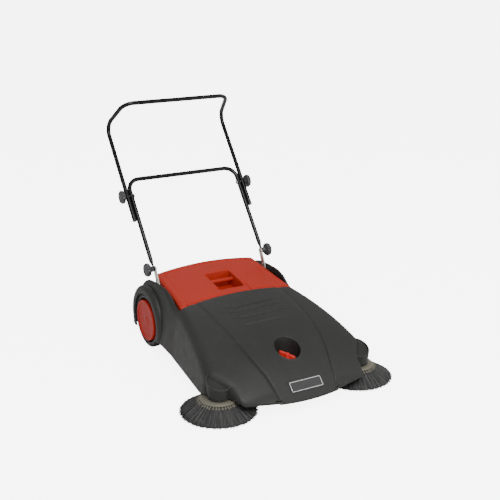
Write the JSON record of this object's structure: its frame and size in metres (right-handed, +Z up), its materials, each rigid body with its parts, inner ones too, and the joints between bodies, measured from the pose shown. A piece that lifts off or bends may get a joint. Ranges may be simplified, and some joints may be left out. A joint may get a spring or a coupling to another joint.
{
  "type": "walk behind sweeper",
  "caption": "Push floor sweeper with driven side brushes, main roller, lift-out red hopper, dark hood, rear wheels and a folding two-piece tube handle.",
  "frame": {"origin": "on the floor, under the middle of the machine from the front lip to the rearmost bend of the handle", "axes": "+X to the right side as seen from behind the front lip looking along +Y, +Y to the rear where the operator stands, +Z up; the machine drives towards -Y"},
  "size_m": [0.8, 1.0905, 0.8837],
  "materials": {
    "hood_plastic": "moulded charcoal plastic, fine grain",
    "badge": "smooth black label plate",
    "bolt_steel": "bright zinc plate",
    "zinc_steel": "zinc-plated pressed steel",
    "bracket_steel": "zinc-plated strap",
    "white_screw": "white-finished screw head",
    "nylon": "natural nylon",
    "belt_rubber": "smooth black rubber",
    "hopper_red": "warm red moulded plastic",
    "rim_plastic": "black moulded plastic",
    "tyre_rubber": "black tread rubber",
    "cap_red": "red moulded plastic",
    "knob_red": "red moulded plastic",
    "bristle": "black bristle bundle",
    "brush_beige": "grey-beige moulded plastic",
    "tube_black": "gloss black powder coat on steel tube",
    "plug_black": "black tube plug",
    "knob_grey": "dark grey moulded plastic"
  },
  "bodies": {
    "root": {"hood": "hood_plastic", "badge_plate": "badge", "hood_screws": "bolt_steel", "left_side_plate": "zinc_steel", "right_side_plate": "zinc_steel", "front_beam": "zinc_steel", "rear_tie_rod": "zinc_steel", "roller_cowl": "hood_plastic", "hopper_rails": "zinc_steel", "stub_axles": "bolt_steel", "pinion_pins": "bolt_steel", "left_handle_bracket": "bracket_steel", "right_handle_bracket": "bracket_steel", "bracket_screws": "white_screw", "bracket_bolts": "bolt_steel", "spindle_bushes": "nylon", "roller_bearings": "nylon", "left_drive_belt": "belt_rubber", "right_drive_belt": "belt_rubber", "left_brush_belt": "belt_rubber", "right_brush_belt": "belt_rubber", "height_guide_posts": "bolt_steel"},
    "hopper": {"hopper_bin": "hopper_red", "hopper_lid": "hopper_red", "hopper_grip_bar": "hopper_red", "hopper_lip_seal": "belt_rubber"},
    "left_wheel": {"left_wheel_rim": "rim_plastic", "left_tyre": "tyre_rubber", "left_ring_gear": "nylon", "left_hub_cap": "cap_red"},
    "right_wheel": {"right_wheel_rim": "rim_plastic", "right_tyre": "tyre_rubber", "right_ring_gear": "nylon", "right_hub_cap": "cap_red"},
    "left_pinion": {"left_drive_pinion": "nylon"},
    "right_pinion": {"right_drive_pinion": "nylon"},
    "roller": {"roller_shaft": "bolt_steel", "roller_core": "rim_plastic", "roller_bristles": "bristle", "roller_pulleys": "nylon"},
    "left_brush": {"left_brush_hub": "brush_beige", "left_brush_bristles": "bristle", "left_brush_spindle": "bolt_steel"},
    "right_brush": {"right_brush_hub": "brush_beige", "right_brush_bristles": "bristle", "right_brush_spindle": "bolt_steel"},
    "height_adjuster": {"height_knob": "knob_red", "height_spindle": "bolt_steel"},
    "carriage": {"caster_carriage": "zinc_steel"},
    "fork": {"caster_fork": "zinc_steel", "caster_axle": "bolt_steel"},
    "front_wheel": {"caster_wheel": "tyre_rubber"},
    "lower_frame": {"lower_handle": "tube_black", "clamp_bolts": "bolt_steel"},
    "upper_frame": {"upper_handle": "tube_black", "tube_end_caps": "plug_black"},
    "upper_left_clamp": {"left_upper_knob": "knob_grey"},
    "upper_right_clamp": {"right_upper_knob": "knob_grey"},
    "lower_left_clamp": {"left_lower_knob": "knob_grey"},
    "lower_right_clamp": {"right_lower_knob": "knob_grey"}
  },
  "joints": [
    {"name": "hopper_lift", "type": "slide", "parent": "root", "child": "hopper", "axis": [0, 0, 1], "range_m": [0, 0.25]},
    {"name": "left_wheel_spin", "type": "hinge", "parent": "root", "child": "left_wheel", "pos_m": [-0.25, 0.18925, 0.104], "axis": [1, 0, 0], "continuous": true},
    {"name": "right_wheel_spin", "type": "hinge", "parent": "root", "child": "right_wheel", "pos_m": [0.25, 0.18925, 0.104], "axis": [1, 0, 0], "continuous": true},
    {"name": "left_pinion_spin", "type": "hinge", "parent": "root", "child": "left_pinion", "pos_m": [-0.23, 0.14979, 0.11836], "axis": [1, 0, 0], "continuous": true},
    {"name": "right_pinion_spin", "type": "hinge", "parent": "root", "child": "right_pinion", "pos_m": [0.23, 0.14979, 0.11836], "axis": [1, 0, 0], "continuous": true},
    {"name": "roller_spin", "type": "hinge", "parent": "root", "child": "roller", "pos_m": [0, -0.11075, 0.092], "axis": [1, 0, 0], "continuous": true},
    {"name": "left_brush_spin", "type": "hinge", "parent": "root", "child": "left_brush", "pos_m": [-0.269, -0.41075, 0.06], "axis": [0, 0, 1], "continuous": true},
    {"name": "right_brush_spin", "type": "hinge", "parent": "root", "child": "right_brush", "pos_m": [0.269, -0.41075, 0.06], "axis": [0, 0, 1], "continuous": true},
    {"name": "height_knob_turn", "type": "hinge", "parent": "root", "child": "height_adjuster", "pos_m": [0, -0.39275, 0.12], "axis": [0, 0, 1], "range_deg": [0, 720]},
    {"name": "carriage_travel", "type": "slide", "parent": "root", "child": "carriage", "axis": [0, 0, 1], "range_m": [0, 0.008]},
    {"name": "caster_swivel", "type": "hinge", "parent": "carriage", "child": "fork", "pos_m": [0, -0.36675, 0.06], "axis": [0, 0, 1], "continuous": true},
    {"name": "front_wheel_spin", "type": "hinge", "parent": "fork", "child": "front_wheel", "pos_m": [0, -0.35075, 0.021], "axis": [1, 0, 0], "continuous": true},
    {"name": "lower_handle_fold", "type": "hinge", "parent": "root", "child": "lower_frame", "pos_m": [0, 0.17925, 0.304], "axis": [-1, 0, 0], "range_deg": [-115, 20]},
    {"name": "upper_handle_fold", "type": "hinge", "parent": "lower_frame", "child": "upper_frame", "pos_m": [0, 0.36601, 0.53878], "axis": [1, 0, 0], "range_deg": [-120, 100]},
    {"name": "upper_left_knob_turn", "type": "hinge", "parent": "lower_frame", "child": "upper_left_clamp", "pos_m": [-0.266, 0.36601, 0.53878], "axis": [-1, 0, 0], "range_deg": [0, 720]},
    {"name": "lower_left_knob_turn", "type": "hinge", "parent": "root", "child": "lower_left_clamp", "pos_m": [-0.255, 0.17925, 0.304], "axis": [-1, 0, 0], "range_deg": [0, 720]},
    {"name": "upper_right_knob_turn", "type": "hinge", "parent": "lower_frame", "child": "upper_right_clamp", "pos_m": [0.266, 0.36601, 0.53878], "axis": [1, 0, 0], "range_deg": [0, 720]},
    {"name": "lower_right_knob_turn", "type": "hinge", "parent": "root", "child": "lower_right_clamp", "pos_m": [0.255, 0.17925, 0.304], "axis": [1, 0, 0], "range_deg": [0, 720]}
  ],
  "couplings": [
    {"joint": "left_pinion_spin", "follows": "left_wheel_spin", "ratio": 4},
    {"joint": "right_pinion_spin", "follows": "right_wheel_spin", "ratio": 4},
    {"joint": "roller_spin", "follows": "left_wheel_spin", "ratio": 3},
    {"joint": "right_brush_spin", "follows": "left_wheel_spin", "ratio": -1.3548},
    {"joint": "left_brush_spin", "follows": "left_wheel_spin", "ratio": 1.3548},
    {"joint": "height_knob_turn", "follows": "carriage_travel", "rad_per_m": 1570.8}
  ]
}
